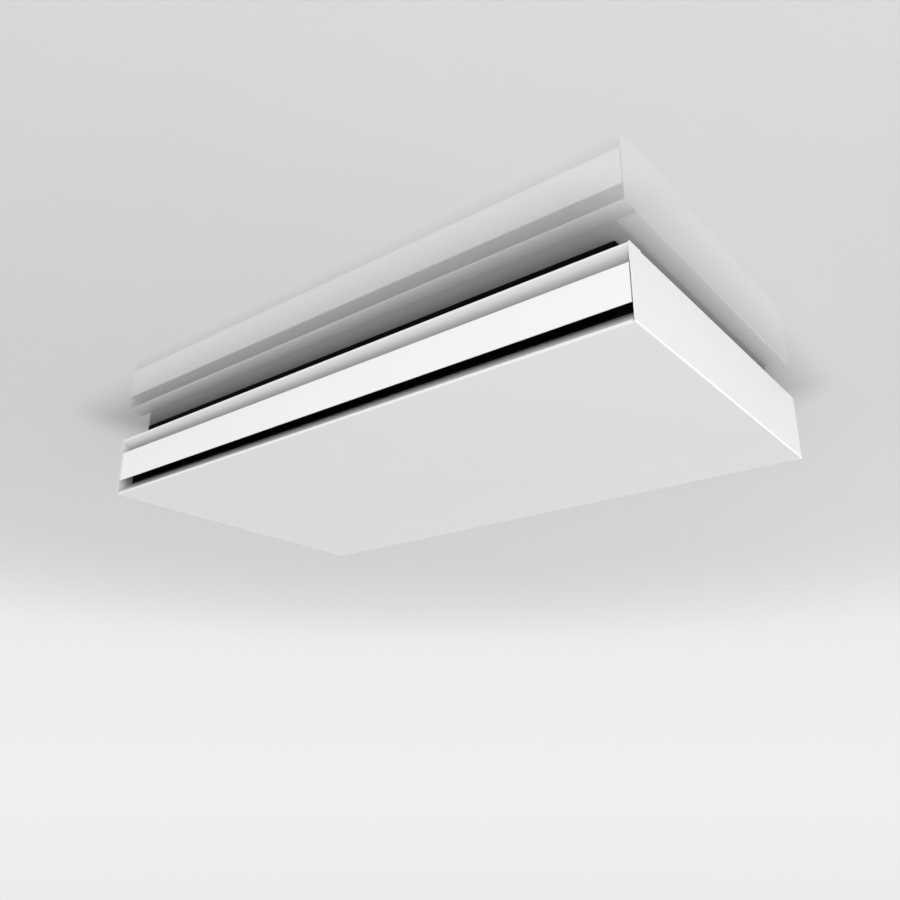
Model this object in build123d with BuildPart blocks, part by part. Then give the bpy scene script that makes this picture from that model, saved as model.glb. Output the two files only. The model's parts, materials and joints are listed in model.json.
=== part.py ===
"""Ceiling air diffuser: a white folded-sheet casing on a black plenum, with a tilting front vane.

Millimetres, +Z up. The origin lies on the ceiling plane over the middle of the unit.
The air outlet faces -Y and the casing's length runs along X.
"""
import os
from math import cos, radians, sin, tan

from build123d import *

os.makedirs("parts", exist_ok=True)

# ---------------------------------------------------------------- driving dimensions
casing_length = 900.0
casing_depth = 500.0
casing_height = 94.0
ceiling_gap = 24.0  # from the ceiling down to the casing's top

sheet = 1.5  # thickness of every folded sheet, unless another is named
bend_outer = 2.25  # outer radius of a fold
bend_middle = bend_outer - sheet / 2

upper_slot = 24.6  # from the casing's top down to the vane
vane_height = 46.1
upper_lip_angle = 37.8  # slope of the upper lip, inwards and down
lower_lip_angle = 43.3  # slope of the lower lip, inwards and up
lip_depth = 22.7  # how far the lips reach in from the front

plate_length = 846.0  # ceiling plate, outside
plate_depth = 2 * (casing_depth / 2 - lip_depth)
plate_flange = 36.0

duct_radius = 62.0  # spigot for a 125 mm duct
spigot_rise = 60.0
spigot_skirt = 58.0

# gaps between pieces
snug_fit = 0.02  # a pin pressed or keyed into its hole
close_fit = 0.05  # a pin that turns in its hole, a rivet or a self-tapping screw
loose_fit = 0.1  # a screw or a stud in its clearance hole
fit_gap = 0.3  # between sheets that slide into each other

# ---------------------------------------------------------------- planes that pieces share
front = -casing_depth / 2
back = casing_depth / 2
side = casing_length / 2
top = -ceiling_gap
bottom = top - casing_height
half_sheet = sheet / 2
inner_side = side - sheet
inner_bottom = bottom + sheet
inner_back = back - sheet
lip_tip = front + lip_depth


def folded_sheet(points, thickness=sheet, radius=bend_middle):
    """Draw the section of a folded sheet along its middle line, in the current sketch."""
    with BuildLine() as middle_line:
        FilletPolyline(*points, radius=radius)
    trace(middle_line.edges(), line_width=thickness)


def lip_corner(angle):
    """Give the Y of a lip's fold corner, so that the rounded nose ends at the front plane."""
    return front + bend_outer - bend_middle / tan(radians(angle / 2))


def lip_end(angle):
    """Give the Y of the middle line's inner end, so that the sheet's corner ends at lip_tip."""
    return lip_tip - half_sheet * sin(radians(angle))


def lip_rise(angle, y):
    """Give how far the lip's middle line has left its flange at Y."""
    return (y - lip_corner(angle)) * tan(radians(angle))


def cross_recesses(place, points, reach, depth):
    """Cut a cross recess into each screw head on the plane, in the current part."""
    arm_width = reach / 4
    with BuildSketch(place) as crosses:
        with Locations(*points):
            Rectangle(reach, arm_width)
            Rectangle(arm_width, reach)
    extrude(crosses.sketch, amount=-depth, mode=Mode.SUBTRACT)


def pan_head_screws(place, stations, head_radius, head_height, shank_radius, shank_length):
    """Add screws along the plane's X to the current part: rounded heads stand on it, shanks go through it."""
    points = [(station, 0) for station in stations]
    with BuildSketch(place) as heads:
        with Locations(*points):
            Circle(head_radius)
    extrude(heads.sketch, amount=head_height)
    outward = Axis(place.origin, place.z_dir)
    fillet(edges(Select.LAST).group_by(outward)[-1], radius=head_height / 2)
    with BuildSketch(place) as shanks:
        with Locations(*points):
            Circle(shank_radius)
    extrude(shanks.sketch, amount=-shank_length)
    cross_recesses(place.offset(head_height), points, reach=head_radius, depth=head_height / 2)


# ================================================================ white casing
rim_width = 25.0  # side rims fold in by this
rim_start = front + 25.0  # the rims begin behind the upper lip rail
flange_width = 15.0  # rear flanges
notch_width = 1.5  # corner relief at the ends of the lower lip's nose
lip_end_gap = 0.2  # between the lips' ends and the side walls
lip_half_length = inner_side - lip_end_gap

with BuildPart() as lower_lip:
    # the underside folds back on itself and slopes up inwards
    with BuildSketch(Plane.YZ):
        lower_end = lip_end(lower_lip_angle)
        folded_sheet(
            [
                (front + 2 * bend_outer, bottom + half_sheet),
                (lip_corner(lower_lip_angle), bottom + half_sheet),
                (lower_end, bottom + half_sheet + lip_rise(lower_lip_angle, lower_end)),
            ]
        )
    extrude(amount=lip_half_length, both=True)
    with Locations((-inner_side, front, bottom), (inner_side, front, bottom)):
        Box(2 * notch_width, 4 * bend_outer, 4 * bend_outer, mode=Mode.SUBTRACT)

rivet_radius = 1.6
rivet_inset = 8.5  # from the casing's sides
side_rivets = 3
side_rivet_z = [bottom + casing_height * (n + 1) / (side_rivets + 1) for n in range(side_rivets)]
floor_rivet_z = bottom + flange_width / 2
floor_rivet_x = [-320, -160, 0, 160, 320]
rivet_points = [(x * (side - rivet_inset), z) for x in (-1, 1) for z in side_rivet_z]
rivet_points += [(x, floor_rivet_z) for x in floor_rivet_x]

with BuildPart() as casing_shell:
    # underside, side walls and rims: one section along the unit
    with BuildSketch(Plane.XZ.offset(-rim_start)):
        folded_sheet(
            [
                (-side + rim_width, top - half_sheet),
                (-side + half_sheet, top - half_sheet),
                (-side + half_sheet, bottom + half_sheet),
                (side - half_sheet, bottom + half_sheet),
                (side - half_sheet, top - half_sheet),
                (side - rim_width, top - half_sheet),
            ]
        )
    extrude(amount=-(back - rim_start))
    # in front of the rims the walls end in a plain edge
    with BuildSketch(Plane.XZ.offset(-front)):
        folded_sheet(
            [
                (-side + half_sheet, top),
                (-side + half_sheet, bottom + half_sheet),
                (side - half_sheet, bottom + half_sheet),
                (side - half_sheet, top),
            ]
        )
    extrude(amount=-(rim_start - front))
    # room for the folds along the front, the back and the rear corners
    fold_room = [
        (front, 2 * (side - bend_outer)),
        (back - bend_outer, 2 * (side - flange_width)),
    ]
    for y, width in fold_room:
        with Locations((0, y, bottom)):
            Box(width, bend_outer, bend_outer, align=(Align.CENTER, Align.MIN, Align.MIN), mode=Mode.SUBTRACT)
    with Locations((-side, back, bottom + bend_outer), (side, back, bottom + bend_outer)):
        Box(
            2 * rim_width,
            2 * bend_outer,
            casing_height,
            align=(Align.CENTER, Align.CENTER, Align.MIN),
            mode=Mode.SUBTRACT,
        )
    add(lower_lip.part)
    # rear flanges that the back panel is riveted to
    with BuildSketch(Plane.YZ):
        folded_sheet(
            [
                (back - 2 * bend_outer, bottom + half_sheet),
                (back - half_sheet, bottom + half_sheet),
                (back - half_sheet, bottom + flange_width),
            ]
        )
    extrude(amount=side - flange_width - fit_gap, both=True)
    for x in (-1, 1):
        with BuildSketch(Plane.XY.offset(bottom + bend_outer + fit_gap)):
            folded_sheet(
                [
                    (x * (side - half_sheet), back - 2 * bend_outer),
                    (x * (side - half_sheet), back - half_sheet),
                    (x * (side - flange_width), back - half_sheet),
                ]
            )
        extrude(amount=casing_height - 2 * bend_outer - 2 * fit_gap)
    with BuildSketch(Plane.XZ.offset(-back)):
        with Locations(*rivet_points):
            Circle(rivet_radius + close_fit)
    extrude(amount=2 * sheet, mode=Mode.SUBTRACT)

rail_end_gap = 1.0  # from the rail's rear edge to the lip's tip

with BuildPart() as upper_lip_rail:
    with BuildSketch(Plane.YZ):
        upper_end = lip_end(upper_lip_angle)
        folded_sheet(
            [
                (lip_tip - rail_end_gap, top - half_sheet),
                (lip_corner(upper_lip_angle), top - half_sheet),
                (upper_end, top - half_sheet - lip_rise(upper_lip_angle, upper_end)),
            ]
        )
    extrude(amount=lip_half_length, both=True)

back_rim_gap = 1.7  # from the ceiling plate back to the rear rim's edge
back_foot = 12.0  # the panel's lower flange, which rests on the underside
rim_end_gap = 0.5  # between the rear rim's ends and the side rims
lock_x = 250.0
lock_y = 238.0
lock_radius = 2.0

with BuildPart() as back_panel:
    with BuildSketch(Plane.YZ):
        folded_sheet(
            [
                (plate_depth / 2 + back_rim_gap, top - half_sheet),
                (inner_back - half_sheet, top - half_sheet),
                (inner_back - half_sheet, inner_bottom + half_sheet),
                (inner_back - back_foot, inner_bottom + half_sheet),
            ]
        )
    extrude(amount=side - bend_outer - fit_gap, both=True)
    # the rear rim fits between the side rims
    for x in (-1, 1):
        with Locations((x * side, back, top)):
            Box(2 * (rim_width + rim_end_gap), casing_depth / 8, 2 * (sheet + fit_gap), mode=Mode.SUBTRACT)
    with BuildSketch(Plane.XZ.offset(-back)):
        with Locations(*rivet_points):
            Circle(rivet_radius + close_fit)
    extrude(amount=3 * sheet, mode=Mode.SUBTRACT)
    with BuildSketch(Plane.XY.offset(top)):
        with Locations((-lock_x, lock_y), (lock_x, lock_y)):
            Circle(lock_radius + fit_gap)
    extrude(amount=-2 * sheet, mode=Mode.SUBTRACT)

rivet_head_radius = 3.2
rivet_head_height = 1.1
rivet_bulb_radius = 2.4
rivet_bulb_length = 3.0
mandrel_radius = 0.8

with BuildPart() as back_rivets:
    # low rounded head outside, shank through both sheets, set bulb inside
    rivet_steps = [
        (back, rivet_head_radius, rivet_head_height),
        (back, rivet_radius, -2 * sheet),
        (inner_back - sheet, rivet_bulb_radius, -rivet_bulb_length),
    ]
    for y, radius, reach in rivet_steps:
        with BuildSketch(Plane.XZ.offset(-y)):
            with Locations(*rivet_points):
                Circle(radius)
        extrude(amount=-reach)
    fillet(back_rivets.edges().group_by(Axis.Y)[-1], radius=0.8 * rivet_head_height)
    fillet(back_rivets.edges().group_by(Axis.Y)[0], radius=rivet_bulb_radius / 3)
    # the broken-off mandrel leaves a dimple
    with BuildSketch(Plane.XZ.offset(-back - rivet_head_height)):
        with Locations(*rivet_points):
            Circle(mandrel_radius)
    extrude(amount=rivet_head_height / 2, mode=Mode.SUBTRACT)

# ================================================================ front vane and its pivots
vane_top = top - upper_slot
vane_bottom = vane_top - vane_height
vane_sheet = 1.5
vane_edge_radius = 0.35
vane_gap = 1.3  # at each end, between the vane and the side wall
vane_half = inner_side - vane_gap
pivot_y = front + 11.0
pivot_z = (vane_top + vane_bottom) / 2
hub_radius = 4.5
hub_clearance = 11.0  # from each side wall to the hub's end, room for the bearing
hub_half = inner_side - hub_clearance
web_thick = 2.0
rib_offset = 14.0
rib_depth = 3.0
rib_thick = 1.2
pin_radius = 2.5
pin_grip = 17.0  # how deep a pin sits in the hub
pin_end_gap = 1.5  # from the side wall
pin_chamfer = 0.4

with BuildPart() as front_vane:
    with BuildSketch(Plane.YZ) as vane_section:
        with Locations((front + vane_sheet / 2, pivot_z)):
            Rectangle(vane_sheet, vane_height)
        fillet(vane_section.vertices(), radius=vane_edge_radius)
        with Locations((pivot_y, pivot_z)):
            Circle(hub_radius)
        with Locations((front + vane_sheet, pivot_z)):
            Rectangle(pivot_y - front - vane_sheet, web_thick, align=(Align.MIN, Align.CENTER))
        for z in (pivot_z - rib_offset, pivot_z + rib_offset):
            with Locations((front + vane_sheet / 2, z)):
                Rectangle(rib_depth + vane_sheet / 2, rib_thick, align=(Align.MIN, Align.CENTER))
        with Locations((pivot_y, pivot_z)):
            Circle(pin_radius + snug_fit, mode=Mode.SUBTRACT)
    extrude(amount=vane_half, both=True)
    # the hub, its web and the ribs stop short of the bearings
    for x in (-1, 1):
        with Locations((x * (hub_half + hub_clearance), front + vane_sheet, pivot_z)):
            Box(
                2 * hub_clearance,
                2 * (pivot_y - front) + hub_radius,
                vane_height,
                align=(Align.CENTER, Align.MIN, Align.CENTER),
                mode=Mode.SUBTRACT,
            )

pin_inner = hub_half - pin_grip
pin_outer = inner_side - pin_end_gap

with BuildPart() as vane_pivot_pins:
    for x in (-1, 1):
        with BuildSketch(Plane.YZ.offset(x * pin_inner)):
            with Locations((pivot_y, pivot_z)):
                Circle(pin_radius)
        extrude(amount=x * (pin_outer - pin_inner))
    chamfer(vane_pivot_pins.edges().filter_by(GeomType.CIRCLE), length=pin_chamfer)

bearing_thick = 8.3
bearing_face = inner_side - bearing_thick
washer_radius = 5.0

with BuildPart() as vane_friction_washers:
    for x in (-1, 1):
        with BuildSketch(Plane.YZ.offset(x * (hub_half + fit_gap))):
            with Locations((pivot_y, pivot_z)):
                Circle(washer_radius)
                Circle(pin_radius + loose_fit, mode=Mode.SUBTRACT)
        extrude(amount=x * (bearing_face - hub_half - 2 * fit_gap))

bearing_front = pivot_y - 5.5
bearing_back = pivot_y + 10.5
bearing_height = 14.0
bearing_corner = 2.0
stud_radius = 1.5
stud_base_radius = 2.3
stud_base = 0.7
stud_y = pivot_y + 7.0
stud_z = 4.0  # above and below the pivot
stud_tail = 3.2  # how far a stud stands out of its bearing
stud_points = [(stud_y, pivot_z - stud_z), (stud_y, pivot_z + stud_z)]

vane_bearings = {}
for end, x in (("left", -1), ("right", 1)):
    with BuildPart() as vane_bearing:
        with BuildSketch(Plane.YZ.offset(x * bearing_face)):
            with Locations(((bearing_front + bearing_back) / 2, pivot_z)):
                RectangleRounded(bearing_back - bearing_front, bearing_height, bearing_corner)
            with Locations((pivot_y, pivot_z)):
                Circle(pin_radius + close_fit, mode=Mode.SUBTRACT)
            with Locations(*stud_points):
                Circle(stud_radius + loose_fit, mode=Mode.SUBTRACT)
        extrude(amount=x * bearing_thick)
        # seats for the studs' welded bases
        with BuildSketch(Plane.YZ.offset(x * inner_side)):
            with Locations(*stud_points):
                Circle(stud_base_radius + loose_fit)
        extrude(amount=-x * (stud_base + loose_fit), mode=Mode.SUBTRACT)
    vane_bearings[f"vane_bearing_{end}"] = vane_bearing

with BuildPart() as bearing_studs:
    for x in (-1, 1):
        for radius, reach in ((stud_base_radius, stud_base), (stud_radius, bearing_thick + stud_tail)):
            with BuildSketch(Plane.YZ.offset(x * inner_side)):
                with Locations(*stud_points):
                    Circle(radius)
            extrude(amount=-x * reach)

nut_radius = 3.0
nut_height = 2.2

with BuildPart() as bearing_nuts:
    for x in (-1, 1):
        with BuildSketch(Plane.YZ.offset(x * bearing_face)):
            with Locations(*stud_points):
                RegularPolygon(nut_radius, 6)
                Circle(stud_radius + close_fit, mode=Mode.SUBTRACT)
        extrude(amount=-x * nut_height)

# ================================================================ ceiling plate and plenum
plate_side = plate_length / 2
plate_back = plate_depth / 2
plenum_side = plate_side - sheet - fit_gap
plenum_back = plate_back - sheet - fit_gap
pad_height = 3.5
plenum_bottom = inner_bottom + pad_height
plenum_top = -10.0
slot_x = 380.0
slot_y = 150.0
slot_radius = 3.25
slot_length = 14.0
side_screw_z = -30.0
side_screw_radius = 2.0
side_screw_y = [-100, 0, 100]
back_screw_x = [-300, -100, 100, 300]

with BuildPart() as ceiling_plate:
    with BuildSketch(Plane.XY):
        Rectangle(plate_length, plate_depth)
    extrude(amount=-plate_flange)
    folds = ceiling_plate.edges().filter_by(Axis.Z) + ceiling_plate.faces().sort_by(Axis.Z)[-1].edges()
    fillet(folds, radius=bend_outer)
    offset(amount=-sheet, openings=ceiling_plate.faces().sort_by(Axis.Z)[0])
    with BuildSketch(Plane.XY):
        with GridLocations(2 * slot_x, 2 * slot_y, 2, 2):
            SlotOverall(slot_length, 2 * slot_radius)
        Circle(duct_radius + loose_fit)
    extrude(amount=-2 * sheet, mode=Mode.SUBTRACT)
    with BuildSketch(Plane.YZ):
        with Locations(*[(y, side_screw_z) for y in side_screw_y]):
            Circle(side_screw_radius + loose_fit)
    extrude(amount=plate_length, both=True, mode=Mode.SUBTRACT)
    with BuildSketch(Plane.XZ):
        with Locations(*[(x, side_screw_z) for x in back_screw_x]):
            Circle(side_screw_radius + loose_fit)
    extrude(amount=-plate_depth, mode=Mode.SUBTRACT)

mouth_half = 416.0  # clear opening of the mouth frame
mouth_top = -48.5
mouth_bottom = -90.5
mouth_middle = (mouth_top + mouth_bottom) / 2
mouth_height = mouth_top - mouth_bottom
collar_reach = 20.0
mouth_screw_x = [-400, -200, 0, 200, 400]
mouth_screw_inset = 6.0  # from the opening's upper and lower edges
mouth_screw_z = [mouth_top + mouth_screw_inset, mouth_bottom - mouth_screw_inset]
mouth_screw_points = [(x, z) for x in mouth_screw_x for z in mouth_screw_z]
small_screw_radius = 1.3
small_head_radius = 2.6
frame_front = lip_tip + fit_gap

equaliser_sheet = 1.0
equaliser_y = -190.0
equaliser_flange = 12.0
equaliser_screw_x = [-350, -150, 150, 350]
equaliser_screw_y = equaliser_y + 8.0
equaliser_screw_points = [(x, equaliser_screw_y) for x in equaliser_screw_x]

with BuildPart() as plenum_box:
    with BuildSketch(Plane.XY.offset(plenum_bottom)):
        Rectangle(2 * plenum_side, 2 * plenum_back)
    extrude(amount=plenum_top - plenum_bottom)
    folds = plenum_box.edges().filter_by(Axis.Z) + plenum_box.faces().sort_by(Axis.Z)[0].edges()
    fillet(folds, radius=bend_outer)
    offset(amount=-sheet, openings=plenum_box.faces().sort_by(Axis.Z)[-1])
    with BuildSketch(Plane.XZ.offset(plenum_back)):
        with Locations((0, mouth_middle)):
            Rectangle(2 * (mouth_half + sheet + fit_gap), mouth_height + 2 * (sheet + fit_gap))
        with Locations(*mouth_screw_points):
            Circle(small_screw_radius + close_fit)
    extrude(amount=-3 * sheet, mode=Mode.SUBTRACT)
    with BuildSketch(Plane.YZ):
        with Locations(*[(y, side_screw_z) for y in side_screw_y]):
            Circle(side_screw_radius + close_fit)
    extrude(amount=plate_side, both=True, mode=Mode.SUBTRACT)
    with BuildSketch(Plane.XZ):
        with Locations(*[(x, side_screw_z) for x in back_screw_x]):
            Circle(side_screw_radius + close_fit)
    extrude(amount=-plate_back, mode=Mode.SUBTRACT)
    # pilot holes for the equalising plate's screws
    with BuildSketch(Plane.XY.offset(plenum_bottom)):
        with Locations(*equaliser_screw_points):
            Circle(small_screw_radius + close_fit)
    extrude(amount=2 * sheet, mode=Mode.SUBTRACT)

screw_head_radius = 3.6
screw_head_height = 1.6
screw_length = 7.0

with BuildPart() as plenum_screws:
    for x in (-1, 1):
        pan_head_screws(
            Plane(origin=(x * plate_side, 0, side_screw_z), x_dir=(0, 1, 0), z_dir=(x, 0, 0)),
            side_screw_y,
            screw_head_radius,
            screw_head_height,
            side_screw_radius,
            screw_length,
        )
    pan_head_screws(
        Plane(origin=(0, plate_back, side_screw_z), x_dir=(1, 0, 0), z_dir=(0, 1, 0)),
        back_screw_x,
        screw_head_radius,
        screw_head_height,
        side_screw_radius,
        screw_length,
    )

frame_border = 11.0  # how far the frame's face reaches above and below its opening
frame_end_gap = 0.5

with BuildPart() as mouth_frame:
    with BuildSketch(Plane.XZ.offset(-frame_front)):
        with Locations((0, mouth_middle)):
            Rectangle(2 * (inner_side - frame_end_gap), mouth_height + 2 * frame_border)
    extrude(amount=-sheet)
    # collar that reaches into the plenum
    with BuildSketch(Plane.XZ.offset(-frame_front)):
        with Locations((0, mouth_middle)):
            Rectangle(2 * (mouth_half + sheet), mouth_height + 2 * sheet)
    extrude(amount=-collar_reach)
    with BuildSketch(Plane.XZ.offset(-frame_front)):
        with Locations((0, mouth_middle)):
            Rectangle(2 * mouth_half, mouth_height)
    extrude(amount=-collar_reach, mode=Mode.SUBTRACT)
    for x, z in mouth_screw_points:
        with Locations(Plane(origin=(x, frame_front, z), x_dir=(1, 0, 0), z_dir=(0, -1, 0))):
            CounterSinkHole(small_screw_radius + close_fit, small_head_radius + loose_fit, depth=sheet)

mouth_screw_shank = 6.0
mouth_screw_length = 7.0

with BuildPart() as mouth_screws:
    for x, z in mouth_screw_points:
        # countersunk head flush with the frame's face
        with BuildSketch(Plane.XY.offset(z)):
            with BuildLine():
                Polyline(
                    (x, frame_front),
                    (x + small_head_radius, frame_front),
                    (x + small_screw_radius, frame_front + small_head_radius - small_screw_radius),
                    (x + small_screw_radius, frame_front + mouth_screw_shank),
                    (x, frame_front + mouth_screw_length),
                    close=True,
                )
            make_face()
        revolve(axis=Axis((x, 0, z), (0, 1, 0)))
    cross_recesses(
        Plane.XZ.offset(-frame_front),
        mouth_screw_points,
        reach=small_head_radius,
        depth=small_screw_radius / 2,
    )

seal_width = 4.7
seal_end_gap = 1.0
mouth_seals = {}
for name, angle, flange_z, turn in (
    ("mouth_seal_upper", upper_lip_angle, top - half_sheet, -1),
    ("mouth_seal_lower", lower_lip_angle, bottom + half_sheet, 1),
):
    with BuildPart() as mouth_seal:
        # fills the wedge between the lip's hidden face and the mouth frame
        hidden_side = half_sheet / cos(radians(angle))
        seal_ends = [lip_tip - seal_width, lip_tip]
        seal_z = [flange_z + turn * (lip_rise(angle, y) - hidden_side) for y in seal_ends]
        with BuildSketch(Plane.YZ):
            with BuildLine():
                Polyline(
                    (seal_ends[0], seal_z[0]),
                    (seal_ends[1], seal_z[1]),
                    (frame_front, seal_z[1]),
                    (frame_front, seal_z[0]),
                    close=True,
                )
            make_face()
        extrude(amount=inner_side - seal_end_gap, both=True)
    mouth_seals[name] = mouth_seal

hole_radius = 4.5
hole_pitch = 16.0
hole_columns = 50
hole_rows = 6
equaliser_end_gap = 1.0

with BuildPart() as equalising_plate:
    equaliser_low = plenum_bottom + sheet + equaliser_sheet / 2
    equaliser_high = -sheet - equaliser_sheet / 2
    with BuildSketch(Plane.YZ):
        folded_sheet(
            [
                (equaliser_y + equaliser_flange, equaliser_low),
                (equaliser_y, equaliser_low),
                (equaliser_y, equaliser_high),
                (equaliser_y + equaliser_flange, equaliser_high),
            ],
            thickness=equaliser_sheet,
        )
    extrude(amount=plenum_side - sheet - equaliser_end_gap, both=True)
    with BuildSketch(Plane.XZ.offset(-equaliser_y + sheet)):
        with Locations((0, (equaliser_low + equaliser_high) / 2)):
            with GridLocations(hole_pitch, hole_pitch, hole_columns, hole_rows):
                Circle(hole_radius)
    extrude(amount=-2 * sheet, mode=Mode.SUBTRACT)
    with BuildSketch(Plane.XY.offset(plenum_bottom)):
        with Locations(*equaliser_screw_points):
            Circle(small_screw_radius + loose_fit)
    extrude(amount=3 * sheet, mode=Mode.SUBTRACT)

small_head_height = 1.5
small_screw_length = 5.0

with BuildPart() as equaliser_screws:
    screw_seat = plenum_bottom + sheet + equaliser_sheet
    pan_head_screws(
        Plane((0, equaliser_screw_y, screw_seat)),
        equaliser_screw_x,
        small_head_radius,
        small_head_height,
        small_screw_radius,
        small_screw_length,
    )

# ---------------------------------------------------------------- sound-absorbing mats
mat = 10.0
mat_top = -36.0
mat_floor = plenum_bottom + sheet
mat_front = -175.0
mat_side = plenum_side - sheet
mat_back = plenum_back - sheet

with BuildPart() as lining_floor:
    with BuildSketch(Plane.XY.offset(mat_floor)):
        with Locations((0, mat_front)):
            Rectangle(2 * (mat_side - mat), mat_back - mat - mat_front, align=(Align.CENTER, Align.MIN))
    extrude(amount=mat)

with BuildPart() as lining_back:
    with BuildSketch(Plane.XY.offset(mat_floor + bend_outer)):
        with Locations((0, mat_back)):
            Rectangle(2 * (mat_side - mat), mat, align=(Align.CENTER, Align.MAX))
    extrude(amount=mat_top - mat_floor - bend_outer)

side_linings = {}
for end, x in (("left", -1), ("right", 1)):
    with BuildPart() as lining_side:
        with BuildSketch(Plane.XY.offset(mat_floor + bend_outer)):
            with Locations((x * (mat_side - mat / 2), mat_front)):
                Rectangle(mat, mat_back - bend_outer - mat_front, align=(Align.CENTER, Align.MIN))
        extrude(amount=mat_top - mat_floor - bend_outer)
    side_linings[f"lining_{end}"] = lining_side

# ================================================================ spigot and damper
tube_wall = 1.0
tube_inner = duct_radius - tube_wall
mouth_taper = 2.0  # height of the rolled-in rim that leads the duct on
mouth_roll = 0.6  # how far that rim is rolled in
axle_z = -34.0
axle_radius = 4.0
bush_radius = 6.0
collar_radius = 66.5
bead_z = 6.0
bead_rise = 1.4
bead_half = 2.5
groove_radius = duct_radius - 1.0  # the lip seal's seat
groove_low = 10.0
groove_high = 20.0

with BuildPart() as duct_spigot:
    with BuildSketch(Plane.XZ):
        with BuildLine():
            Polyline(
                (duct_radius, bead_z - bead_half),
                (duct_radius, -sheet),
                (collar_radius, -sheet),
                (collar_radius, -sheet - tube_wall),
                (duct_radius, -sheet - tube_wall),
                (duct_radius, -spigot_skirt),
                (tube_inner, -spigot_skirt),
                (tube_inner, groove_low - tube_wall),
                (groove_radius - tube_wall, groove_low),
                (groove_radius - tube_wall, groove_high),
                (tube_inner, groove_high + tube_wall),
                (tube_inner, spigot_rise - mouth_taper),
                (tube_inner - mouth_roll, spigot_rise),
                (duct_radius - mouth_roll, spigot_rise),
                (duct_radius, spigot_rise - mouth_taper),
                (duct_radius, groove_high),
                (groove_radius, groove_high),
                (groove_radius, groove_low),
                (duct_radius, groove_low),
                (duct_radius, bead_z + bead_half),
            )
            # rolled bead that stops the duct
            ThreePointArc(
                (duct_radius, bead_z + bead_half),
                (duct_radius + bead_rise, bead_z),
                (duct_radius, bead_z - bead_half),
            )
        make_face()
    revolve(axis=Axis.Z)
    with BuildSketch(Plane.XZ):
        with Locations((0, axle_z)):
            Circle(bush_radius + close_fit)
    extrude(amount=2 * duct_radius, both=True, mode=Mode.SUBTRACT)

seal_gap = 0.25  # above and below the seal in its groove
seal_height = groove_high - groove_low - 2 * seal_gap
seal_band = duct_radius + 1.2  # outer radius of the seal's band
fin_tip = duct_radius + 3.4
fin_inner_tip = duct_radius + 3.2
fin_roots = [1.5, 6.0]  # heights on the band
fin_root_width = 1.9
fin_droop = 1.1  # from a fin's root down to its tip
fin_tip_width = 0.6

with BuildPart() as spigot_lip_seal:
    seal_low = groove_low + seal_gap
    with BuildSketch(Plane.XZ):
        with BuildLine():
            outline = [(groove_radius, seal_low), (seal_band, seal_low)]
            for root in fin_roots:
                outline += [
                    (seal_band, seal_low + root),
                    (fin_inner_tip, seal_low + root - fin_droop),
                    (fin_tip, seal_low + root - fin_droop + fin_tip_width),
                    (seal_band, seal_low + root + fin_root_width),
                ]
            outline += [(seal_band, seal_low + seal_height), (groove_radius, seal_low + seal_height)]
            Polyline(*outline, close=True)
        make_face()
    revolve(axis=Axis.Z)

blade_radius = 59.5
blade_sheet = 1.2
flat_x = 2.0  # the axle is milled flat here, where the blade lies on it
flat_half = 56.0
blade_screw_y = 30.0
blade_screw_radius = 2.0
blade_head_height = 2.0
blade_screw_length = 6.0
axle_hole_fit = 0.03
bush_inner = 58.8
bush_outer = 64.6
bush_flange = 9.0  # radius
clip_y = bush_outer + 0.6
clip_thick = 1.0
clip_groove = 3.2
clip_radius = 7.0
clip_mouth = 4.4
axle_chamfer = 0.5
axle_front = -76.0
axle_back = clip_y + clip_thick + 3.0

with BuildPart() as damper_blade:
    with BuildSketch(Plane.YZ.offset(flat_x)):
        with Locations((0, axle_z)):
            Circle(blade_radius)
        # cut back around the bushes
        with Locations((-blade_radius, axle_z), (blade_radius, axle_z)):
            Rectangle(2 * axle_radius, 2 * (bush_radius + blade_screw_radius), mode=Mode.SUBTRACT)
        with Locations((-blade_screw_y, axle_z), (blade_screw_y, axle_z)):
            Circle(blade_screw_radius + close_fit, mode=Mode.SUBTRACT)
    extrude(amount=blade_sheet)

with BuildPart() as damper_axle:
    with BuildSketch(Plane.XZ.offset(-axle_back)):
        with Locations((0, axle_z)):
            Circle(axle_radius)
    extrude(amount=axle_back - axle_front)
    chamfer(damper_axle.edges().filter_by(GeomType.CIRCLE), length=axle_chamfer)
    with Locations((flat_x, 0, axle_z)):
        Box(
            2 * axle_radius,
            2 * flat_half,
            3 * axle_radius,
            align=(Align.MIN, Align.CENTER, Align.CENTER),
            mode=Mode.SUBTRACT,
        )
    # grooves for the retaining clips
    for y in (-clip_y - clip_thick, clip_y):
        with BuildSketch(Plane.XZ.offset(-y)):
            with Locations((0, axle_z)):
                Circle(2 * axle_radius)
                Circle(clip_groove, mode=Mode.SUBTRACT)
        extrude(amount=-clip_thick, mode=Mode.SUBTRACT)
    with BuildSketch(Plane.YZ.offset(-axle_radius + axle_chamfer)):
        with Locations((-blade_screw_y, axle_z), (blade_screw_y, axle_z)):
            Circle(blade_screw_radius + axle_hole_fit)
    extrude(amount=2 * axle_radius, mode=Mode.SUBTRACT)

with BuildPart() as damper_blade_screws:
    pan_head_screws(
        Plane(origin=(flat_x + blade_sheet, 0, axle_z), x_dir=(0, 1, 0), z_dir=(1, 0, 0)),
        [-blade_screw_y, blade_screw_y],
        screw_head_radius,
        blade_head_height,
        blade_screw_radius,
        blade_screw_length,
    )

with BuildPart() as damper_bushes:
    bush_bore = axle_radius + close_fit
    flange_face = duct_radius + loose_fit
    for y in (-1, 1):
        for face, radius in ((bush_inner, bush_radius), (flange_face, bush_flange)):
            with BuildSketch(Plane.XZ.offset(-y * face)):
                with Locations((0, axle_z)):
                    Circle(radius)
                    Circle(bush_bore, mode=Mode.SUBTRACT)
            extrude(amount=-y * (bush_outer - face))

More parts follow.
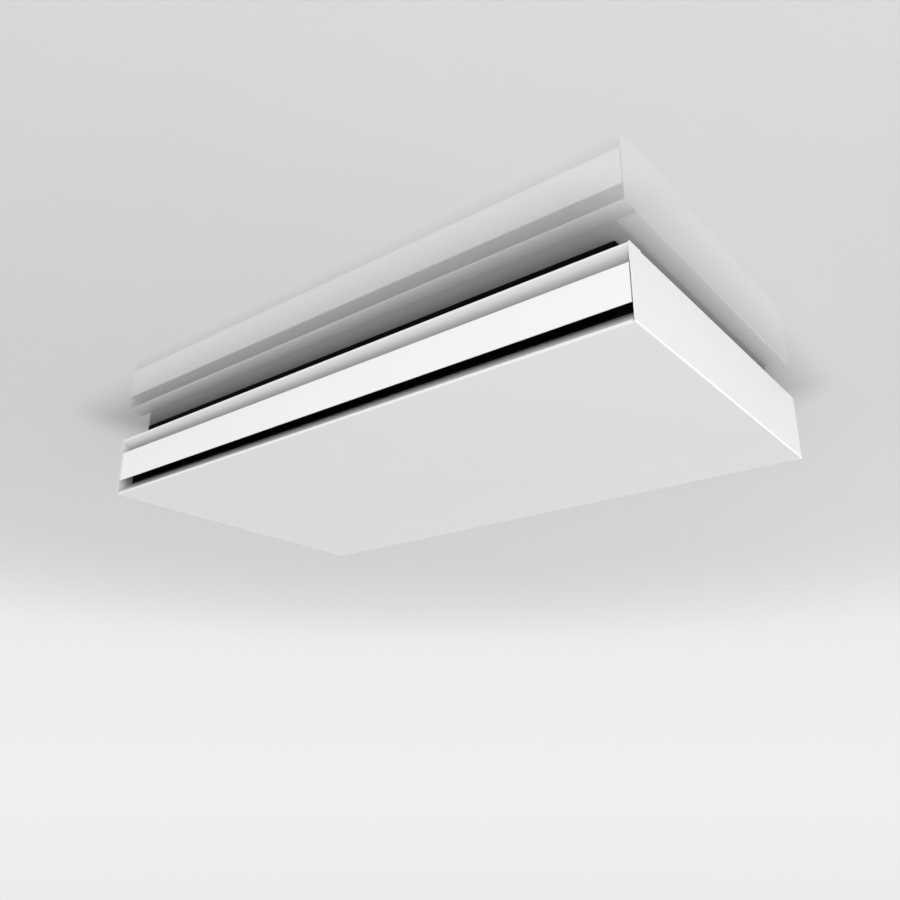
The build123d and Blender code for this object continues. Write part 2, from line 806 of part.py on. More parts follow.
with BuildPart() as damper_axle_clips:
    for y in (-clip_y - clip_thick, clip_y):
        with BuildSketch(Plane.XZ.offset(-y - close_fit)):
            with Locations((0, axle_z)):
                Circle(clip_radius)
                Circle(clip_groove + close_fit, mode=Mode.SUBTRACT)
                Rectangle(clip_mouth, 2 * axle_radius, align=(Align.CENTER, Align.MIN), mode=Mode.SUBTRACT)
        extrude(amount=-(clip_thick - 2 * close_fit))

quadrant_y = -69.25  # middle of the quadrant's sheet
quadrant_foot = 15.0
quadrant_left = -48.0
quadrant_right = 14.0
quadrant_corner = 8.0
quadrant_margin = 10.0  # below the slot's arc
slot_arc_radius = 36.0
slot_play = 1.2  # by which the slot is wider than the bolt
lock_bolt_radius = 2.0
lever_sheet = 2.0
lever_y = -72.5  # middle of the lever's sheet
lever_width = 12.0
lever_reach = 58.0
lever_grip = 12.0

with BuildPart() as damper_quadrant:
    with BuildSketch(Plane.YZ.offset(quadrant_left)):
        folded_sheet(
            [
                (quadrant_y - quadrant_foot, -sheet - half_sheet),
                (quadrant_y, -sheet - half_sheet),
                (quadrant_y, axle_z - slot_arc_radius - quadrant_margin),
            ]
        )
    extrude(amount=quadrant_right - quadrant_left)
    fillet(damper_quadrant.edges().filter_by(Axis.Y).group_by(Axis.Z)[0], radius=quadrant_corner)
    with BuildSketch(Plane.XZ.offset(-quadrant_y + sheet)):
        with Locations((0, axle_z)):
            Circle(axle_radius + fit_gap + loose_fit)
        with BuildLine(mode=Mode.PRIVATE) as slot_arc:
            CenterArc((0, axle_z), slot_arc_radius, 180, 90)
        SlotArc(slot_arc.wires()[0], 2 * lock_bolt_radius + slot_play)
    extrude(amount=-2 * sheet, mode=Mode.SUBTRACT)

with BuildPart() as damper_lever:
    with BuildSketch(Plane.YZ.offset(-lever_width / 2)):
        folded_sheet(
            [
                (lever_y, axle_z + lever_width / 2),
                (lever_y, axle_z - lever_reach),
                (lever_y - lever_grip, axle_z - lever_reach),
            ],
            thickness=lever_sheet,
            radius=lever_sheet,
        )
    extrude(amount=lever_width)
    lever_end = damper_lever.edges().filter_by(Axis.Y).group_by(Axis.Z)[-1]
    fillet(lever_end, radius=lever_width / 2 - loose_fit)
    with BuildSketch(Plane.XZ.offset(-lever_y + lever_sheet)):
        with Locations((0, axle_z)):
            Circle(axle_radius + snug_fit)
        with Locations((0, axle_z - slot_arc_radius)):
            Circle(lock_bolt_radius + loose_fit)
    extrude(amount=-2 * lever_sheet, mode=Mode.SUBTRACT)

lock_z = axle_z - slot_arc_radius
lever_face = lever_y - lever_sheet / 2
quadrant_rear = quadrant_y + half_sheet
bolt_head_radius = 4.5
bolt_head_height = 2.0
bolt_tail = 8.0  # how far the bolt stands out of the lever

with BuildPart() as damper_lock_bolt:
    with BuildSketch(Plane.XZ.offset(-quadrant_rear - bolt_head_height - loose_fit)):
        with Locations((0, lock_z)):
            Circle(bolt_head_radius)
    extrude(amount=bolt_head_height)
    with BuildSketch(Plane.XZ.offset(-quadrant_rear - bolt_head_height / 2)):
        with Locations((0, lock_z)):
            Circle(lock_bolt_radius)
    extrude(amount=quadrant_rear + bolt_head_height / 2 - lever_face + bolt_tail)

barrel_radius = 4.2
barrel_length = 5.0
wing_x = 6.5
wing_length = 9.0
wing_thick = 2.2
wing_rise = 7.0
wing_start = 0.6  # from the barrel's foot to the wings

with BuildPart() as damper_wing_nut:
    with BuildSketch(Plane.XZ.offset(-lever_face + fit_gap)):
        with Locations((0, lock_z)):
            Circle(barrel_radius)
    extrude(amount=barrel_length)
    # two wings, rising away from the lever
    with BuildSketch(Plane.XZ.offset(-lever_face + fit_gap + wing_start)):
        with Locations((-wing_x, lock_z), (wing_x, lock_z)):
            SlotOverall(wing_length, wing_thick)
    extrude(amount=wing_rise, taper=-2)
    with BuildSketch(Plane.XZ.offset(-lever_face)):
        with Locations((0, lock_z)):
            Circle(lock_bolt_radius + close_fit)
    extrude(amount=barrel_length + wing_rise, mode=Mode.SUBTRACT)

# ================================================================ what holds the casing up
clip_sheet = 0.8
clip_fold = 1.0
clip_width = 20.0
clip_station = 165.0
clip_shelf = 13.0
clip_leg_foot = 4.5
clip_leg_drop = 16.0
flange_edge_gap = 1.0  # from the ceiling plate's lower edge up to the welded legs
shelf_z = top - sheet - clip_sheet / 2

snap_clips = {}
for row, y in (("front", -clip_station), ("rear", clip_station)):
    for end, x in (("left", -1), ("right", 1)):
        with BuildPart() as snap_clip:
            # welded leg, shelf under the rim, and the sprung leg that snaps past it
            with BuildSketch(Plane.XZ.offset(-y + clip_width / 2)):
                folded_sheet(
                    [
                        (x * (plate_side + clip_sheet / 2), -plate_flange + flange_edge_gap),
                        (x * (plate_side + clip_sheet / 2), shelf_z),
                        (x * (plate_side + clip_shelf), shelf_z),
                        (x * (plate_side + clip_leg_foot), shelf_z - clip_leg_drop),
                    ],
                    thickness=clip_sheet,
                    radius=clip_fold,
                )
            extrude(amount=-clip_width)
        snap_clips[f"snap_clip_{row}_{end}"] = snap_clip

bracket_width = 30.0
bracket_margin = 6.0  # behind the lock screw

rear_brackets = {}
for end, x in (("left", -1), ("right", 1)):
    with BuildPart() as rear_bracket:
        with BuildSketch(Plane.YZ.offset(x * lock_x - bracket_width / 2)):
            folded_sheet(
                [
                    (plate_back + half_sheet, -plate_flange + flange_edge_gap),
                    (plate_back + half_sheet, top - sheet - half_sheet),
                    (lock_y + bracket_margin, top - sheet - half_sheet),
                ]
            )
        extrude(amount=bracket_width)
        with BuildSketch(Plane.XY.offset(top)):
            with Locations((x * lock_x, lock_y)):
                Circle(lock_radius + close_fit)
        extrude(amount=-3 * sheet, mode=Mode.SUBTRACT)
    rear_brackets[f"rear_bracket_{end}"] = rear_bracket

lock_head_radius = 3.8
lock_head_height = 2.4
lock_screw_length = 8.0

with BuildPart() as rear_lock_screws:
    pan_head_screws(
        Plane((0, lock_y, top)),
        [-lock_x, lock_x],
        lock_head_radius,
        lock_head_height,
        lock_radius,
        lock_screw_length,
    )

pad_side = 40.0
pad_corner = 4.0
pad_pitch_x = 500.0
pad_pitch_y = 240.0

with BuildPart() as anti_drum_pads:
    with BuildSketch(Plane.XY.offset(inner_bottom)):
        with GridLocations(pad_pitch_x, pad_pitch_y, 2, 2):
            RectangleRounded(pad_side, pad_side, pad_corner)
    extrude(amount=pad_height)

# ================================================================ files
pieces = {
    "casing_shell": casing_shell,
    "upper_lip_rail": upper_lip_rail,
    "back_panel": back_panel,
    "back_rivets": back_rivets,
    "front_vane": front_vane,
    "vane_pivot_pins": vane_pivot_pins,
    "vane_friction_washers": vane_friction_washers,
    **vane_bearings,
    "bearing_studs": bearing_studs,
    "bearing_nuts": bearing_nuts,
    "ceiling_plate": ceiling_plate,
    "plenum_box": plenum_box,
    "plenum_screws": plenum_screws,
    "mouth_frame": mouth_frame,
    "mouth_screws": mouth_screws,
    **mouth_seals,
    "equalising_plate": equalising_plate,
    "equaliser_screws": equaliser_screws,
    "lining_floor": lining_floor,
    "lining_back": lining_back,
    **side_linings,
    "duct_spigot": duct_spigot,
    "spigot_lip_seal": spigot_lip_seal,
    "damper_blade": damper_blade,
    "damper_axle": damper_axle,
    "damper_blade_screws": damper_blade_screws,
    "damper_bushes": damper_bushes,
    "damper_axle_clips": damper_axle_clips,
    "damper_quadrant": damper_quadrant,
    "damper_lever": damper_lever,
    "damper_lock_bolt": damper_lock_bolt,
    "damper_wing_nut": damper_wing_nut,
    **snap_clips,
    **rear_brackets,
    "rear_lock_screws": rear_lock_screws,
    "anti_drum_pads": anti_drum_pads,
}

for name, piece in pieces.items():
    piece.part.label = name
    export_step(piece.part, f"parts/{name}.step")
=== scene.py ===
"""Looks for the ceiling air diffuser: materials, foam pieces, stage, lights and camera round the CAD frame."""

import json
from math import cos, pi

import bmesh
import bpy
from mathutils import Matrix, Vector, noise


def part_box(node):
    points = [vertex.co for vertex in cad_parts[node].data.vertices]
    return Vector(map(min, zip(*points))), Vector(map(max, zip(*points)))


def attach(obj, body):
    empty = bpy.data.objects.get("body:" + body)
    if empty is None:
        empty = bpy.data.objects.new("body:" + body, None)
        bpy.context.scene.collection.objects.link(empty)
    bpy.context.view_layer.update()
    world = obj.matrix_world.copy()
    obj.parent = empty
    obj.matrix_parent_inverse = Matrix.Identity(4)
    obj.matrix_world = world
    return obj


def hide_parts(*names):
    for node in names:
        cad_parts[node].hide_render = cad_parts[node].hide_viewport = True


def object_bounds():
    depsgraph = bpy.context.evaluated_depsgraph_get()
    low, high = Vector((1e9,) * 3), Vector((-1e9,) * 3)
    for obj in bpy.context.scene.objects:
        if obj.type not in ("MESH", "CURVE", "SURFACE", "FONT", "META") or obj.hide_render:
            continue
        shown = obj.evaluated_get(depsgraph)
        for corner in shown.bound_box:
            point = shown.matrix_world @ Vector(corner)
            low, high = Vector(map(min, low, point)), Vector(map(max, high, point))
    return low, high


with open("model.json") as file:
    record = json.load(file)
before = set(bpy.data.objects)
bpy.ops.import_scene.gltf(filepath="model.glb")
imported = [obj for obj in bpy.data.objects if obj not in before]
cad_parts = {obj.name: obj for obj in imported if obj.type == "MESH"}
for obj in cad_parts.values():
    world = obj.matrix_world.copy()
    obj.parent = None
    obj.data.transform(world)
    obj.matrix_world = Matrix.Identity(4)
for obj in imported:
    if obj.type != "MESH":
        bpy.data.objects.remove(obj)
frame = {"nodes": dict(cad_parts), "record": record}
cad_low, cad_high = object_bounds()
scene = bpy.context.scene
scene.view_settings.view_transform = "Standard"


# ------------------------------------------------------------------ small shader kit
class Paint:
    """One material: a Principled shader and the few texture helpers that the finishes below share."""

    def __init__(self, name):
        self.material = bpy.data.materials.new(name)
        self.material.use_nodes = True
        self.nodes = self.material.node_tree.nodes
        self.links = self.material.node_tree.links
        self.shader = self.nodes["Principled BSDF"]
        self.place = self.nodes.new("ShaderNodeTexCoord").outputs["Object"]
        self.normal = None

    def put(self, socket, value):
        """Set a socket to a number or colour, or link another socket to it."""
        if isinstance(value, bpy.types.NodeSocket):
            self.links.new(value, socket)
        else:
            socket.default_value = (*value, 1.0) if isinstance(value, tuple) else value

    def set(self, **values):
        """Set the shader's own sockets: base_color becomes Base Color, and so on."""
        for key, value in values.items():
            name = {"ior": "IOR", "specular": "Specular IOR Level"}.get(key, key.replace("_", " ").title())
            self.put(self.shader.inputs[name], value)

    def noise(self, per_metre, detail, stretch=(1, 1, 1)):
        """Give noise from 0 to 1 with that many blobs a metre, squeezed along X, Y and Z."""
        mapping = self.nodes.new("ShaderNodeMapping")
        mapping.inputs["Scale"].default_value = stretch
        self.links.new(self.place, mapping.inputs["Vector"])
        node = self.nodes.new("ShaderNodeTexNoise")
        node.inputs["Scale"].default_value = per_metre
        node.inputs["Detail"].default_value = detail
        self.links.new(mapping.outputs["Vector"], node.inputs["Vector"])
        return node.outputs["Fac"]

    def cells(self, per_metre, output):
        """Give Voronoi cells: their random Color, or the Distance from their middle."""
        node = self.nodes.new("ShaderNodeTexVoronoi")
        node.inputs["Scale"].default_value = per_metre
        self.links.new(self.place, node.inputs["Vector"])
        return node.outputs[output]

    def between(self, factor, low, high, start=0.0, end=1.0):
        """Map a factor from start..end smoothly to low..high."""
        node = self.nodes.new("ShaderNodeMapRange")
        node.interpolation_type = "SMOOTHSTEP"
        node.inputs["From Min"].default_value = start
        node.inputs["From Max"].default_value = end
        node.inputs["To Min"].default_value = low
        node.inputs["To Max"].default_value = high
        self.links.new(factor, node.inputs["Value"])
        return node.outputs["Result"]

    def math(self, operation, first, second):
        """Combine two factors."""
        node = self.nodes.new("ShaderNodeMath")
        node.operation = operation
        self.put(node.inputs[0], first)
        self.put(node.inputs[1], second)
        return node.outputs[0]

    def mix(self, factor, first, second):
        """Mix two colours."""
        node = self.nodes.new("ShaderNodeMixRGB")
        self.put(node.inputs["Fac"], factor)
        self.put(node.inputs["Color1"], first)
        self.put(node.inputs["Color2"], second)
        return node.outputs["Color"]

    def bump(self, height, millimetres, strength):
        """Raise the surface by the height times that many millimetres."""
        node = self.nodes.new("ShaderNodeBump")
        node.inputs["Distance"].default_value = millimetres / 1000
        node.inputs["Strength"].default_value = strength
        self.links.new(height, node.inputs["Height"])
        if self.normal is not None:
            self.links.new(self.normal, node.inputs["Normal"])
        self.normal = node.outputs["Normal"]
        self.links.new(self.normal, self.shader.inputs["Normal"])

    def split(self, vector):
        """Give the X, Y and Z of a vector."""
        node = self.nodes.new("ShaderNodeSeparateXYZ")
        self.links.new(vector, node.inputs["Vector"])
        return node.outputs

    def facing(self):
        """Give the X, Y and Z of the direction that the surface faces."""
        return self.split(self.nodes.new("ShaderNodeNewGeometry").outputs["Normal"])

    def upward(self, start=0.85, end=1.0):
        """Give 1 on faces that look up, 0 elsewhere."""
        return self.between(self.facing()["Z"], 0.0, 1.0, start, end)

    def inward(self):
        """Give 1 on upright faces that look sideways to the middle of the unit, 0 elsewhere."""
        outward = self.math("MULTIPLY", self.facing()["X"], self.split(self.place)["X"])
        return self.between(outward, 1.0, 0.0, start=-0.35, end=-0.1)

    def painted_slot_shade(self, begin, full):
        """Give painted shade that deepens from begin to full, in metres inside the front, with soft uneven
        patches.
        """
        depth = self.split(self.place)["Y"]
        full_at = cad_low.y + full
        grown = self.between(depth, 0.0, 0.9, start=cad_low.y + begin, end=full_at)
        ended = self.between(depth, 1.0, 0.0, start=full_at, end=full_at + 0.002)
        patchy = self.between(self.noise(per_metre=14, detail=4, stretch=(1, 3, 3)), 0.85, 1.0)
        return self.math("MULTIPLY", self.math("MULTIPLY", grown, ended), patchy)


# ------------------------------------------------------------------ finishes
sheet_white, sheet_shade = (0.78, 0.78, 0.782), (0.755, 0.757, 0.76)
vane_white, vane_shade = (0.84, 0.84, 0.84), (0.822, 0.823, 0.825)
pale_dust = (0.6, 0.585, 0.56)
slot_shade_grey = (0.24, 0.238, 0.232)  # painted shade: the grey that darkens the slot's lips and inner side walls
lip_depth = 0.0228  # how far the lips reach in from the front


def lacquer(name, light, shade, roughness, streaks=(1, 1, 1), slot_shade_begin=None, lower_lip_only=False):
    """White baked lacquer on sheet: soft gloss, orange peel, faint wiping marks, dust where it faces up.

    The slot's painted shade, a grey that stands for the shade inside the slot, begins as far inside the front
    as the caller gives and is full at the lips' tips.
    With lower_lip_only it stays off the faces that look down or out, such as the underside and the outer walls.
    """
    paint = Paint(name)
    drift = paint.noise(per_metre=5, detail=2, stretch=streaks)
    body = paint.mix(drift, light, shade)
    if slot_shade_begin is not None:
        # painted shade that deepens inside the slot, on the lips and the inner side walls
        slot_shade = paint.painted_slot_shade(slot_shade_begin, lip_depth)
        if lower_lip_only:
            inside = paint.math("MAXIMUM", paint.upward(start=0.2, end=0.45), paint.inward())
            slot_shade = paint.math("MULTIPLY", slot_shade, inside)
        body = paint.mix(slot_shade, body, slot_shade_grey)
    specks = paint.between(paint.noise(per_metre=90, detail=8), 0.1, 0.3, start=0.35, end=0.7)
    dust = paint.math("MULTIPLY", paint.upward(), specks)
    paint.set(base_color=paint.mix(dust, body, pale_dust), ior=1.5)
    marks = paint.noise(per_metre=6, detail=2, stretch=(1, 2.5, 1))
    wiped = paint.between(marks, roughness, roughness + 0.03, start=0.1, end=0.9)
    paint.set(roughness=paint.math("ADD", wiped, paint.math("MULTIPLY", dust, 0.5)))
    paint.set(coat_weight=0.25, coat_roughness=0.06)
    orange_peel = paint.noise(per_metre=260, detail=1)
    paint.bump(orange_peel, millimetres=0.008, strength=0.3)
    return paint


def black_paint():
    """Black powder coat, painted far darker than a real coat so that it also stands for the shade in the gap
    and the mouth, with its fine grain, a few rubbed patches, and specks of dust on top.
    """
    paint = Paint("black_powder_coat")
    grain = paint.noise(per_metre=1400, detail=2)
    drift = paint.noise(per_metre=24, detail=4)
    # partly real black coat, partly painted shade: the colour is set far darker than a real black coat to stand
    # for the shade in the gap and the mouth
    body = paint.mix(drift, (0.0012, 0.0012, 0.0013), (0.0028, 0.0028, 0.0028))
    rubbed = paint.between(paint.noise(per_metre=7, detail=5, stretch=(1, 3, 1)), 0.0, 0.5, start=0.5, end=0.75)
    worn = paint.mix(rubbed, body, (0.006, 0.006, 0.006))
    specks = paint.between(paint.noise(per_metre=600, detail=3), 0.35, 0.75, start=0.4, end=0.75)
    settled = paint.math("MULTIPLY", specks, paint.noise(per_metre=5, detail=4))
    dust = paint.math("MULTIPLY", paint.upward(), settled)
    paint.set(base_color=paint.mix(dust, worn, (0.12, 0.118, 0.112)))
    paint.set(roughness=paint.between(rubbed, 0.5, 0.66), specular=0.03)
    paint.bump(grain, millimetres=0.05, strength=0.5)
    return paint


def galvanised():
    """Hot-dip galvanised sheet with its spangle, and dull patches."""
    paint = Paint("galvanised_spangle")
    per_metre = 95
    spangle = paint.cells(per_metre, "Color")
    bright = paint.mix(spangle, (0.5, 0.52, 0.54), (0.68, 0.7, 0.72))
    dull = paint.between(paint.noise(per_metre=18, detail=5), 0.0, 0.25, start=0.4, end=0.8)
    paint.set(base_color=paint.mix(dull, bright, (0.46, 0.47, 0.48)), metallic=1.0)
    paint.set(roughness=paint.between(spangle, 0.3, 0.48))
    paint.bump(paint.cells(per_metre, "Distance"), millimetres=0.03, strength=0.25)
    paint.bump(paint.noise(per_metre=900, detail=3), millimetres=0.01, strength=0.3)
    return paint


def plated(name, light, dark, turned=(1, 14, 14)):
    """Bright plated steel with fine tool marks and dulled patches."""
    paint = Paint(name)
    marks = paint.noise(per_metre=160, detail=3, stretch=turned)
    paint.set(base_color=paint.mix(paint.noise(per_metre=70, detail=4), light, dark), metallic=1.0)
    dulled = paint.math("MULTIPLY", marks, paint.noise(per_metre=220, detail=3))
    paint.set(roughness=paint.between(dulled, 0.2, 0.46, start=0.1, end=0.45))
    paint.bump(marks, millimetres=0.004, strength=0.3)
    return paint


def moulded(name, light, dark, roughness, specular=0.5, grain=900):
    """Moulded plastic or rubber: fine grain, slightly uneven colour."""
    paint = Paint(name)
    paint.set(base_color=paint.mix(paint.noise(per_metre=60, detail=4), light, dark), specular=specular)
    uneven = paint.noise(per_metre=180, detail=4)
    paint.set(roughness=paint.between(uneven, roughness, roughness + 0.14))
    paint.bump(paint.noise(per_metre=grain, detail=3), millimetres=0.03, strength=0.5)
    return paint


def foam():
    """Open-cell black foam: pits of about 1 mm in a rough dark body."""
    paint = Paint("open_cell_foam")
    pits = paint.cells(820, "Distance")
    paint.set(base_color=paint.mix(pits, (0.008, 0.008, 0.009), (0.035, 0.035, 0.038)), specular=0.15)
    paint.set(roughness=paint.between(paint.noise(per_metre=300, detail=3), 0.86, 1.0))
    paint.bump(pits, millimetres=0.6, strength=0.8)
    return paint


finishes = {
    # the sheet lacquer carries painted shade on the lower lip and the inner side walls of the slot
    "white_lacquer": lacquer(
        "white_sheet_lacquer", sheet_white, sheet_shade, roughness=0.16, slot_shade_begin=0.004, lower_lip_only=True
    ),
    "vane_lacquer": lacquer("white_vane_lacquer", vane_white, vane_shade, roughness=0.24, streaks=(0.4, 6, 6)),
    "black_paint": black_paint(),
    "galvanised_steel": galvanised(),
    "zinc_plated_steel": plated("bright_zinc", (0.66, 0.67, 0.69), (0.5, 0.51, 0.52)),
    "spring_steel": plated("spring_temper", (0.22, 0.225, 0.24), (0.14, 0.135, 0.13), turned=(14, 1, 14)),
    "nylon": moulded("natural_nylon", (0.74, 0.72, 0.66), (0.68, 0.66, 0.6), roughness=0.4),
    "epdm_rubber": moulded(
        "epdm_rubber", (0.016, 0.016, 0.017), (0.026, 0.026, 0.027), roughness=0.6, specular=0.35, grain=1300
    ),
    "black_foam": foam(),
}
# the upper lip rail's lacquer, with painted shade from its very front edge into the slot
rail_lacquer = lacquer("white_rail_lacquer", sheet_white, sheet_shade, roughness=0.2, slot_shade_begin=0.0)
slot_of = {part["node"]: part["material_slot"] for part in frame["record"]["subparts"]}
for node, shown in frame["nodes"].items():
    finish = rail_lacquer if node == "upper_lip_rail" else finishes[slot_of[node]]
    for material_slot in shown.material_slots:
        material_slot.material = finish.material


# ------------------------------------------------------------------ foam
foam_step = 0.0045
foam_inset = 0.0004  # cut foam stays this far inside the space it fills
egg_pitch = 0.027
egg_share = 0.5  # how much of the mat's thickness the hollows take
ragged_share = 0.03  # how much of it the torn cells take
ragged_per_metre = 90
squeeze_share, squeeze_uneven = 0.95, 0.05  # how full a seal is, and how much that varies
squeeze_per_metre = 60


def loft(name, rings):
    """Join equal rings of points into one closed black foam piece that stands for the CAD node of that name."""
    count = len(rings[0])
    points = [point for ring in rings for point in ring]
    faces = [tuple(range(count)), tuple(range(len(points) - count, len(points)))]
    for start in range(0, len(points) - count, count):
        for n in range(count):
            after = (n + 1) % count
            faces.append((start + n, start + after, start + count + after, start + count + n))
    mesh = bpy.data.meshes.new(f"{name}_foam")
    mesh.from_pydata(points, [], faces)
    shape = bmesh.new()
    shape.from_mesh(mesh)
    bmesh.ops.recalc_face_normals(shape, faces=shape.faces)
    shape.to_mesh(mesh)
    shape.free()
    mesh.materials.append(finishes["black_foam"].material)
    piece = bpy.data.objects.new(f"{name}_foam", mesh)
    scene.collection.objects.link(piece)
    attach(piece, "housing")
    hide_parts(name)


def steps(low, high):
    """Give evenly spaced numbers from low to high, about a foam step apart."""
    count = max(2, round((high - low) / foam_step))
    return [low + (high - low) * n / count for n in range(count + 1)]


def egg_crate_mat(name, length_axis, width_axis, depth_axis, outward):
    """Convoluted acoustic foam: rounded peaks and hollows on the side that faces the air."""
    low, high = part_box(name)
    glued = low[depth_axis] if outward > 0 else high[depth_axis]
    thick = high[depth_axis] - low[depth_axis] - foam_inset
    lengths = steps(low[length_axis] + foam_inset, high[length_axis] - foam_inset)
    widths = steps(low[width_axis] + foam_inset, high[width_axis] - foam_inset)
    rings = []
    for along in lengths:
        surface = []
        for across in widths:
            wave = (2 + cos(2 * pi * along / egg_pitch) + cos(2 * pi * across / egg_pitch)) / 4
            ragged = ragged_share * noise.noise(Vector((along, across, 0)) * ragged_per_metre)
            surface.append((across, thick * (1 - egg_share * (1 - wave) - abs(ragged))))
        ring = []
        for across, height in [*surface, (widths[-1], 0), (widths[0], 0)]:
            point = Vector()
            point[length_axis] = along
            point[width_axis] = across
            point[depth_axis] = glued + outward * height
            ring.append(point)
        rings.append(ring)
    loft(name, rings)


def rounded(outline, times=3):
    """Round a closed outline by cutting its corners."""
    for _ in range(times):
        turned = outline[1:] + outline[:1]
        outline = [a.lerp(b, share) for a, b in zip(outline, turned) for share in (0.25, 0.75)]
    return outline


def wedge_seal(name, wide_end, narrow_end):
    """A squeezed foam strip between a lip's hidden face and the mouth frame, soft at its corners."""
    low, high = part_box(name)
    ends = {"low": low.z, "high": high.z}
    corners = [
        Vector((low.y, ends[wide_end])),
        Vector((high.y, ends[narrow_end])),
        Vector((high.y, ends[wide_end])),
    ]
    middle = sum(corners, Vector((0, 0))) / len(corners)
    rings = []
    for x in steps(low.x + foam_inset, high.x - foam_inset):
        squeeze = squeeze_share - squeeze_uneven * abs(noise.noise(Vector((x * squeeze_per_metre, 0, 0))))
        ring = rounded([middle.lerp(corner, squeeze) for corner in corners])
        rings.append([Vector((x, y, z)) for y, z in ring])
    loft(name, rings)


X, Y, Z = range(3)
egg_crate_mat("lining_floor", X, Y, Z, outward=1)
egg_crate_mat("lining_back", X, Z, Y, outward=-1)
egg_crate_mat("lining_left", Y, Z, X, outward=1)
egg_crate_mat("lining_right", Y, Z, X, outward=-1)
wedge_seal("mouth_seal_upper", "high", "low")
wedge_seal("mouth_seal_lower", "low", "high")


# ------------------------------------------------------------------ stage
def plane(name, z, half, material):
    """A level square sheet of that half size, under or over the unit, that belongs to the stage."""
    corners = [(-half, -half, z), (-half, half, z), (half, half, z), (half, -half, z)]
    mesh = bpy.data.meshes.new(name)
    mesh.from_pydata(corners, [], [(0, 1, 2, 3)])
    mesh.materials.append(material)
    sheet = bpy.data.objects.new(name, mesh)
    scene.collection.objects.link(sheet)
    return sheet


def fading(paint, near, far, one_sided=False):
    """Let a stage sheet fade out with distance, so that it has no edge, and show only its front if asked."""
    clear = paint.nodes.new("ShaderNodeBsdfTransparent").outputs[0]

    def pick(factor, shown):
        picker = paint.nodes.new("ShaderNodeMixShader")
        for socket, source in zip(picker.inputs, (factor, shown, clear)):
            paint.links.new(source, socket)
        return picker.outputs[0]

    reach = paint.nodes.new("ShaderNodeVectorMath")
    reach.operation = "LENGTH"
    paint.links.new(paint.place, reach.inputs[0])
    shown = pick(paint.between(reach.outputs["Value"], 0.0, 1.0, near, far), paint.shader.outputs[0])
    if one_sided:
        shown = pick(paint.nodes.new("ShaderNodeNewGeometry").outputs["Backfacing"], shown)
    paint.links.new(shown, paint.nodes["Material Output"].inputs["Surface"])


def outside(paint, corner, reach):
    """Give 0 inside the box from -corner to corner, rising to 1 at that reach outside it."""
    vector = paint.place
    operations = (("ABSOLUTE", None), ("SUBTRACT", corner), ("MAXIMUM", (0, 0, 0)), ("LENGTH", None))
    for operation, other in operations:
        node = paint.nodes.new("ShaderNodeVectorMath")
        node.operation = operation
        paint.links.new(vector, node.inputs[0])
        if other:
            node.inputs[1].default_value = other
        vector = node.outputs["Value" if operation == "LENGTH" else "Vector"]
    return paint.between(vector, 0.0, 1.0, start=0.0, end=reach)


floor_height, floor_half = -2.4, 30
floor_paint = Paint("pale_floor")
floor_cloud = floor_paint.noise(per_metre=1.5, detail=4)
floor_paint.set(base_color=floor_paint.mix(floor_cloud, (0.8, 0.8, 0.8), (0.77, 0.77, 0.775)))
floor_worn = floor_paint.noise(per_metre=6, detail=4)
floor_paint.set(roughness=floor_paint.between(floor_worn, 0.75, 0.9), specular=0.15)
fading(floor_paint, near=4.0, far=9.0)
floor = plane("floor", floor_height, floor_half, floor_paint.material)

# the ceiling that the unit hangs from is seen from below only, just above the face that touches it
ceiling_height, ceiling_half = 0.0004, 12
shade_inset, shade_reach = 0.045, 0.12  # the painted shade round the unit, softer at the unit's ends
ceiling_paint = Paint("pale_ceiling")
ceiling_cloud = ceiling_paint.noise(per_metre=2, detail=4)
pale = ceiling_paint.mix(ceiling_cloud, (0.69, 0.69, 0.69), (0.67, 0.67, 0.672))
clear_of_unit = outside(ceiling_paint, (cad_high.x - shade_inset, cad_high.y, 0), shade_reach)
# the ceiling's colour darkens near the unit: a painted contact shadow
ceiling_paint.set(base_color=ceiling_paint.mix(clear_of_unit, (0.38, 0.38, 0.38), pale))
ceiling_worn = ceiling_paint.noise(per_metre=9, detail=4)
ceiling_paint.set(roughness=ceiling_paint.between(ceiling_worn, 0.012, 0.028), ior=2.35)
fading(ceiling_paint, near=0.9, far=2.6, one_sided=True)
ceiling = plane("ceiling", ceiling_height, ceiling_half, ceiling_paint.material)
ceiling.visible_shadow = False
ceiling.visible_diffuse = False

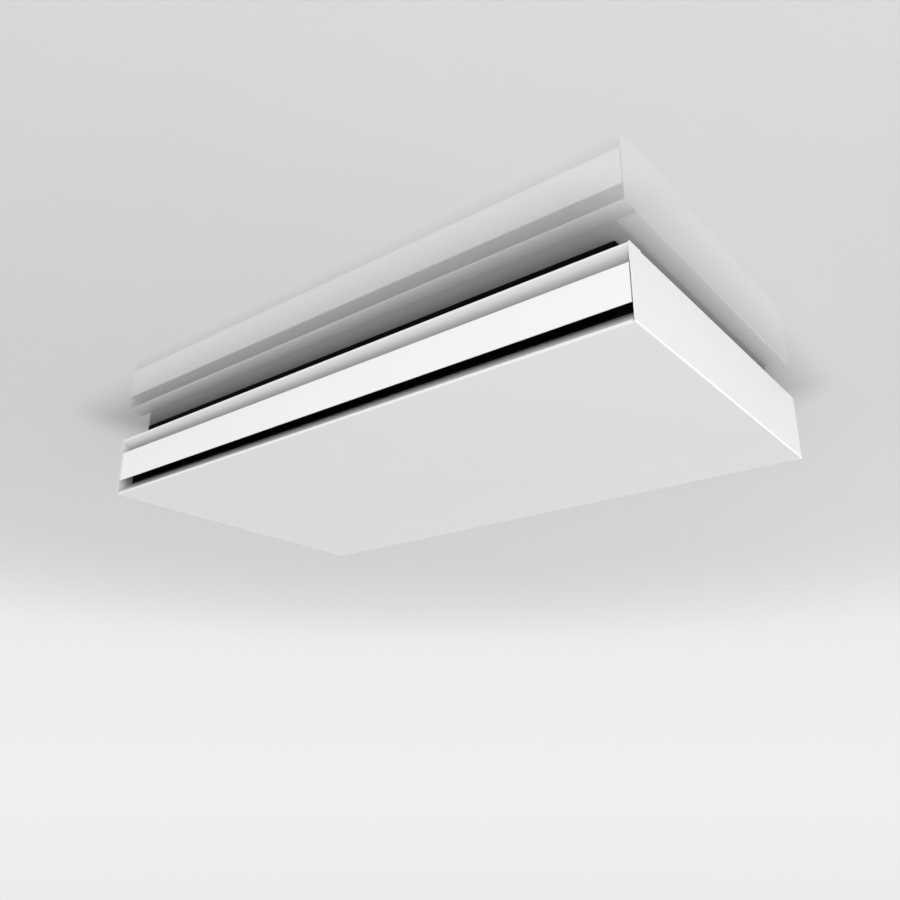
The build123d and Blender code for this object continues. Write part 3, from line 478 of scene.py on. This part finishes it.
# ------------------------------------------------------------------ light
# the world is darkest straight down and brightest at the horizon
world = bpy.data.worlds.new("pale_room")
scene.world = world
world.use_nodes = True
world_nodes, world_links = world.node_tree.nodes, world.node_tree.links
direction = world_nodes.new("ShaderNodeTexCoord")
split = world_nodes.new("ShaderNodeSeparateXYZ")
height = world_nodes.new("ShaderNodeMapRange")
height.inputs["From Min"].default_value = -1.0
fade = world_nodes.new("ShaderNodeValToRGB")
backdrop = world_nodes["Background"]
world_links.new(direction.outputs["Generated"], split.inputs["Vector"])
world_links.new(split.outputs["Z"], height.inputs["Value"])
world_links.new(height.outputs["Result"], fade.inputs["Fac"])
world_links.new(fade.outputs["Color"], backdrop.inputs["Color"])
fade.color_ramp.elements.new(0.5)
for element, grey in zip(fade.color_ramp.elements, (0.56, 0.87, 0.7)):
    element.color = (grey, grey, grey, 1)
backdrop.inputs["Strength"].default_value = 1.0


def softbox(name, place, aim, size, watts, mirrored=False):
    """A large soft lamp at a place, turned to its aim; glossy surfaces show it only if it is mirrored."""
    lamp = bpy.data.lights.new(name, "AREA")
    lamp.shape = "RECTANGLE"
    lamp.size, lamp.size_y = size
    lamp.energy = watts
    holder = bpy.data.objects.new(name, lamp)
    scene.collection.objects.link(holder)
    holder.location = place
    holder.visible_camera = False
    holder.visible_glossy = mirrored
    holder.rotation_euler = (Vector(aim) - Vector(place)).to_track_quat("-Z", "Y").to_euler()
    return holder


front_light = softbox("front_light", place=(1.4, -3.1, -1.3), aim=(0, 0, -0.1), size=(3.4, 1.8), watts=52)
softbox("right_light", place=(3.2, 0.2, -0.8), aim=(0, 0, -0.1), size=(2.4, 1.8), watts=17)
softbox("floor_bounce", place=(1.8, 0, -2.2), aim=(0, 0, 0), size=(3.0, 3.0), watts=9)
softbox("rear_light", place=(2.2, 2.8, -0.7), aim=(0.45, 0, -0.1), size=(1.4, 0.6), watts=16, mirrored=True)
softbox("top_light", place=(-0.8, 0.9, 2.6), aim=(0, 0, 0), size=(3.2, 3.2), watts=34, mirrored=True)

# the front lamp stands low, so it leaves the floor out and makes no bright pool on it
left_out = bpy.data.collections.new("left_out_by_front_light")
left_out.objects.link(floor)
front_light.light_linking.receiver_collection = left_out
left_out.collection_objects[0].light_linking.link_state = "EXCLUDE"

# ------------------------------------------------------------------ camera
camera_place = (0.7895, -0.9792, -0.5531)
forward = Vector((-0.5778, 0.7344, 0.3561)).normalized()
camera = bpy.data.objects.new("camera", bpy.data.cameras.new("camera"))
scene.collection.objects.link(camera)
scene.camera = camera
across = forward.cross(Vector((0, 0, 1))).normalized()
upright = across.cross(forward)
turn = Matrix((across, upright, -forward)).transposed().to_4x4()
camera.matrix_world = Matrix.Translation(camera_place) @ turn
camera.data.sensor_width = 36
camera.data.lens = 35.84
camera.data.clip_start = 0.01
camera.data.clip_end = 100
